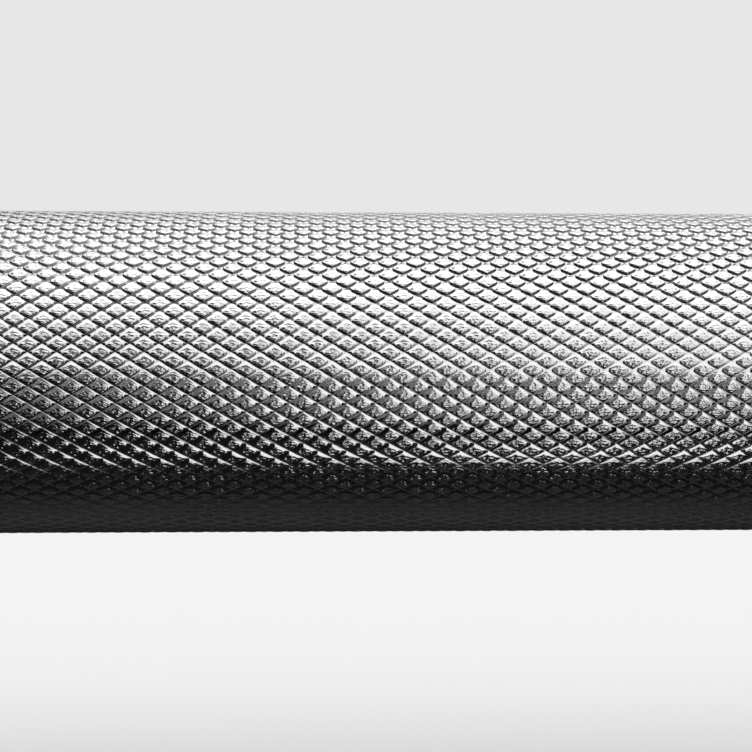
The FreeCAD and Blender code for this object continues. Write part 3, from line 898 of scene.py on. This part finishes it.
def make_room_reflection_glow():
    """A glowing painted reflection of a room: grey blotches on the left, white on the right, black below.
    """
    material, tree, strength, place = glowing("room_reflection_glow")
    across = reckon(tree, "DIVIDE", place["X"], ROOM_AWAY)
    height = reckon(tree, "DIVIDE", place["Z"], ROOM_AWAY)
    spot = add_node(tree, "CombineXYZ", {"X": across, "Y": height}).outputs["Vector"]
    sockets = {"Vector": spot, "Scale": BLOTCH_SCALE, "Detail": 2.0}
    blotches = add_node(tree, "TexNoise", sockets).outputs["Fac"]
    grey = spread(tree, blotches, *GREY_OF_BLOTCH)
    grey = reckon(tree, "MULTIPLY", grey, spread(tree, height, *GREY_OF_HEIGHT))
    white = spread(tree, across, *WHITE_STARTS)
    white = reckon(tree, "MULTIPLY", white, spread(tree, across, *WHITE_DIMS))
    level = blended(tree, white, grey, ROOM_WHITE)
    edge = spread(tree, across, *EDGE_HEIGHT)
    above = spread(tree, reckon(tree, "SUBTRACT", height, edge), *EDGE_SOFTNESS)
    # Painted reflection: the glow of a room, seen only in reflections.
    tree.links.new(reckon(tree, "MULTIPLY", level, above), strength)
    return material


room_reflection_glow = make_room_reflection_glow()
print(room_reflection_glow.name, "has", len(room_reflection_glow.node_tree.nodes), "nodes")

# %% Painted reflection for the floor card
WEDGE_LEFT = (0.30, -0.045)
WEDGE_RIGHT = (0.62, 0.02)
WEDGE_WHITE = 1.2
UNDER_BAR = (0.006, 0.03, 0.04, 0.008)
BEHIND_BAR = (-0.02, 0.0, 0.3, 1.0)
LEFT_SOFTNESS = (-0.005, 0.01, 0.0, 1.0)
RIGHT_SOFTNESS = (-0.01, 0.01, 1.0, 0.0)
WEDGE_STARTS = (0.072, 0.09, 0.0, WEDGE_WHITE)
WEDGE_DIMS = (0.18, 0.35, 1.0, 0.35)


def make_floor_reflection_glow():
    """A glowing painted reflection: black, a little paler under the bar, with a white wedge on the right.
    """
    material, tree, strength, place = glowing("floor_reflection_glow")
    away = reckon(tree, "MULTIPLY", place["Y"], -1.0)
    under = spread(tree, away, *UNDER_BAR)
    under = reckon(tree, "MULTIPLY", under, spread(tree, away, *BEHIND_BAR))
    past_left, past_right = [
        reckon(tree, "SUBTRACT", place["X"], reckon(tree, "MULTIPLY_ADD", away, slope, offset))
        for slope, offset in (WEDGE_LEFT, WEDGE_RIGHT)
    ]
    wedge = spread(tree, past_left, *LEFT_SOFTNESS)
    for share in (
        spread(tree, past_right, *RIGHT_SOFTNESS),
        spread(tree, away, *WEDGE_STARTS),
        spread(tree, away, *WEDGE_DIMS),
    ):
        wedge = reckon(tree, "MULTIPLY", wedge, share)
    # Painted reflection: a dark floor, paler under the bar, with a white wedge, seen only in reflections.
    tree.links.new(reckon(tree, "ADD", under, wedge), strength)
    return material


floor_reflection_glow = make_floor_reflection_glow()
print(floor_reflection_glow.name, "has", len(floor_reflection_glow.node_tree.nodes), "nodes")

# %% Set the cards
CARD_HALF = 2.2
CARD_BACK = 0.10
CARD_LIFT = 0.5 * MM
ROOM_TOP = 0.92 * ROOM_AWAY


def card(name, corners, paper):
    """A sheet that only reflections see."""
    bm = bmesh.new()
    bm.faces.new([bm.verts.new(corner) for corner in corners])
    sheet = staged(name, bm, paper)
    for kind in ("camera", "diffuse", "shadow", "transmission"):
        setattr(sheet, "visible_" + kind, False)


bottom = FLOOR_HEIGHT + CARD_LIFT
front_edge = [(-CARD_HALF, -ROOM_AWAY, bottom), (CARD_HALF, -ROOM_AWAY, bottom)]
back_edge = [(CARD_HALF, CARD_BACK, bottom), (-CARD_HALF, CARD_BACK, bottom)]
top_edge = [(CARD_HALF, -ROOM_AWAY, ROOM_TOP), (-CARD_HALF, -ROOM_AWAY, ROOM_TOP)]
card("floor_reflection_card", front_edge + back_edge, floor_reflection_glow)
card("room_reflection_card", front_edge + top_edge, room_reflection_glow)
print("two cards set, the tall one", ROOM_AWAY, "m in front")

# %% [markdown]
# ## Camera
# The photograph was taken close to the shaft with a longish lens, level with its axis and turned a
# little, so that the left end is nearer. The distance and the lens follow from how the diamonds narrow
# towards the edges.

# %% Camera
CAMERA_DISTANCE = 143.0 * MM
CAMERA_YAW = math.radians(2.5)
CAMERA_DROP = 0.36 * MM
LENS_LENGTH, SENSOR_WIDTH = 77.0, 36.0
NEAREST_SEEN = 5.0 * MM
lens = bpy.data.cameras.new("camera")
lens.lens = LENS_LENGTH
lens.sensor_width = SENSOR_WIDTH
lens.clip_start = NEAREST_SEEN
camera = bpy.data.objects.new("camera", lens)
looking = Vector((math.sin(CAMERA_YAW), math.cos(CAMERA_YAW), 0))
camera.location = -CAMERA_DISTANCE * looking - Vector((0, 0, CAMERA_DROP))
camera.rotation_euler = looking.to_track_quat("-Z", "Y").to_euler()
bpy.context.scene.collection.objects.link(camera)
bpy.context.scene.camera = camera
bpy.context.scene.view_settings.view_transform = "Standard"
print("camera at", [round(c, 4) for c in camera.location], "lens", lens.lens)

# %% [markdown]
# ## Size
# The dressed bar must keep the size of the CAD model.

# %% Finish
import json
